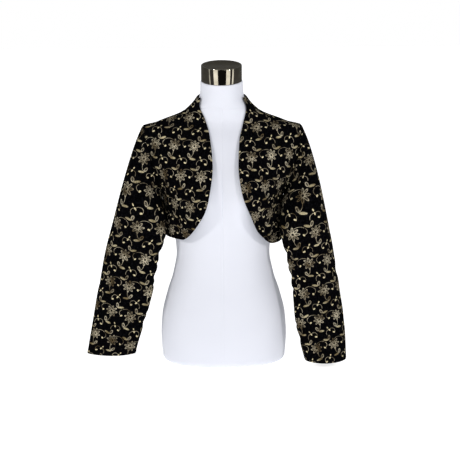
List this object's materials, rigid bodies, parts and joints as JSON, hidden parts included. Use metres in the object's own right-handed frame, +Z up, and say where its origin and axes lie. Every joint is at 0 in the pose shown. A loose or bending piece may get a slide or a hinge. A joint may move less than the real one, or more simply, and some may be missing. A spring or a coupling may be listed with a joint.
{
  "type": "bolero jacket on dress form",
  "caption": "Cropped open-front bolero jacket with long set-in sleeves and a stand neck, resting on a limbless dress form that stands on its flat base.",
  "frame": {"origin": "middle of the dress form's flat underside", "axes": "+Z up the form to its neck, -Y out of the jacket's open front, +X to the wearer's left"},
  "size_m": [0.688, 0.26, 0.8026],
  "materials": {
    "brocade": "black cut pile with woven gold flowers",
    "jersey": "white stretch jersey over a padded form",
    "nickel": "polished dark nickel"
  },
  "bodies": {
    "root": {"back": "brocade", "front_left": "brocade", "front_right": "brocade", "collar_back": "brocade", "sleeve_left": "brocade", "sleeve_right": "brocade", "form_torso": "jersey", "form_neck_cap": "nickel"}
  },
  "joints": []
}
